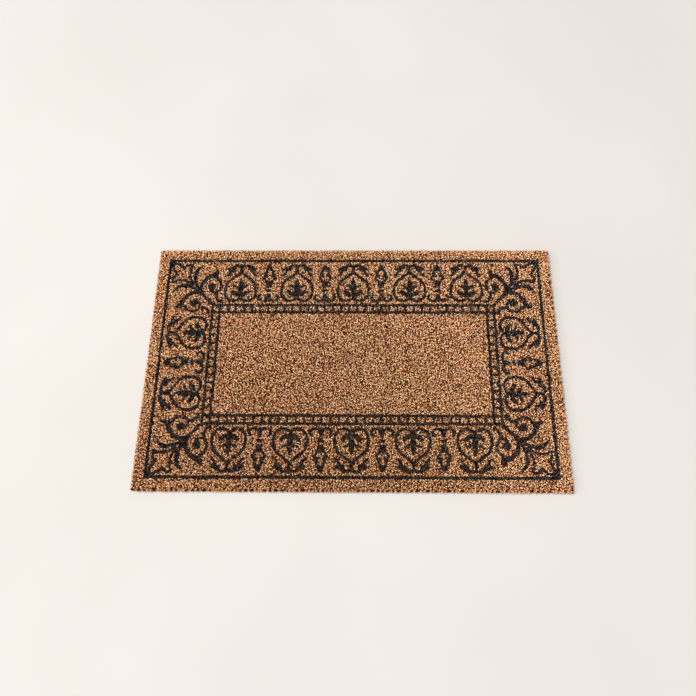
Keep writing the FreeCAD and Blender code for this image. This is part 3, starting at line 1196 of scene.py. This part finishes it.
# ---------------------------------------------------------------------------
# Studio
# ---------------------------------------------------------------------------
@dataclass(frozen=True)
class Lamp:
    """A soft lamp aimed at the mat.

    Attributes:
        name: the lamp's name.
        place: where it hangs.
        power: its power in watts, or in watts per square metre for a distant lamp.
        size: the side of a square lamp in metres, or 0 for a distant one.
        spread: how wide a distant lamp looks from the mat, in degrees.
        colour: its colour.
    """

    name: str
    place: tuple[float, float, float]
    power: float
    size: float = 0.0
    spread: float = 0.0
    colour: tuple[float, float, float] = (1.0, 0.99, 0.97)

    def hang(self) -> None:
        """Adds the lamp to the scene."""
        data = bpy.data.lights.new(self.name, "AREA" if self.size else "SUN")
        if self.size:
            data.shape, data.size = "SQUARE", self.size
        else:
            data.angle = math.radians(self.spread)
        data.energy, data.color = self.power, self.colour
        lamp = bpy.data.objects.new(self.name, data)
        lamp.location = self.place
        lamp.rotation_euler = (-Vector(self.place)).to_track_quat("-Z", "Y").to_euler()
        bpy.context.scene.collection.objects.link(lamp)


@dataclass(frozen=True)
class Studio:
    """Floor, lights and camera.

    Attributes:
        elevation, turn, roll: the camera's direction, in degrees.
        distance: from the camera to the aim point.
        aim: the point on the floor in line with the lens.
        focal: focal length in millimetres on a 36 mm sensor.
        shift: sideways and upward lens shift.
    """

    elevation: float = 67.90
    turn: float = 1.92
    roll: float = -1.77
    distance: float = 1.2585
    aim: tuple[float, float] = (0.0177, 0.2218)
    focal: float = 33.74
    shift: tuple[float, float] = (-0.02155, -0.1408)

    def floor(self) -> None:
        """A pale plain floor."""
        clear_selection()
        bpy.ops.mesh.primitive_plane_add(size=90.0, location=(0, 0, -0.0002))
        plane = finish_piece(bpy.context.object, "studio_floor")
        material, bench, shader = new_material("studio_floor", {"Roughness": 0.75, "Specular IOR Level": 0.2})
        place = bench.add("ShaderNodeTexCoord").outputs["Object"]
        shade = bench.noise(place, 2.0, 2.0)
        cloud = bench.ramp(shade, 0.3, 0.7, 0.0, 1.0)
        colour = bench.mix(cloud, (0.44, 0.42, 0.40, 1.0), (0.46, 0.44, 0.42, 1.0))
        bench.join(colour, shader.inputs["Base Color"])
        dress(plane, material)

    def lights(self) -> None:
        """Soft light: a distant main lamp, a broad one at the left, and a pale surround."""
        Lamp("main_lamp", (-1.1, 0.2, 2.6), 4.5, spread=22.0).hang()
        Lamp("side_lamp", (-3.2, -0.4, 2.8), 90.0, size=2.2).hang()
        world = bpy.data.worlds.new("studio_surround")
        world.use_nodes = True
        bench = NodeBench(world.node_tree)
        out = bench.add("ShaderNodeOutputWorld")
        sky = bench.add("ShaderNodeBackground", {"Color": (1.0, 0.99, 0.97, 1.0)})
        seen = bench.add("ShaderNodeLightPath").outputs["Is Camera Ray"]
        bench.join(bench.ramp(seen, 0.0, 1.0, 0.33, 0.75), sky.inputs["Strength"])
        bench.join(sky.outputs[0], out.inputs["Surface"])
        bpy.context.scene.world = world

    def camera(self) -> None:
        """A camera at a standing person's view of the mat."""
        data = bpy.data.cameras.new("camera")
        data.sensor_width, data.lens = 36.0, self.focal
        data.shift_x, data.shift_y = self.shift
        data.clip_start, data.clip_end = 0.05, 50.0
        elevation, turn, roll = (math.radians(a) for a in (self.elevation, self.turn, self.roll))
        back = Vector(
            (
                math.sin(turn) * math.cos(elevation),
                -math.cos(turn) * math.cos(elevation),
                math.sin(elevation),
            )
        )
        right = (-back).cross(Vector((0, 0, 1))).normalized()
        up = right.cross(-back)
        tilted_right = right * math.cos(roll) + up * math.sin(roll)
        tilted_up = up * math.cos(roll) - right * math.sin(roll)
        camera = bpy.data.objects.new("camera", data)
        turned = Matrix((tilted_right, tilted_up, back)).transposed().to_4x4()
        camera.matrix_world = Matrix.Translation(Vector((*self.aim, 0.0)) + back * self.distance) @ turned
        bpy.context.scene.collection.objects.link(camera)
        bpy.context.scene.camera = camera

    def build(self) -> None:
        """Builds the whole studio."""
        self.floor()
        self.lights()
        self.camera()
        bpy.context.scene.view_settings.view_transform = "Standard"


def main() -> None:
    """Builds the mat from the sheet up, then the studio."""
    logging.basicConfig(level=logging.INFO, format="%(message)s")
    mat = MatFrame.read()
    colours = coir_group()
    sheet = BackingSheet(mat).build()
    bed = RootBed(mat).build()
    pile = Pile(mat, PrintPlan())
    bristles = pile.build(colours)
    for piece in (sheet, bed, *bristles):
        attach(piece, "root")
        report(piece)
    Studio().build()


if __name__ == "__main__":
    main()
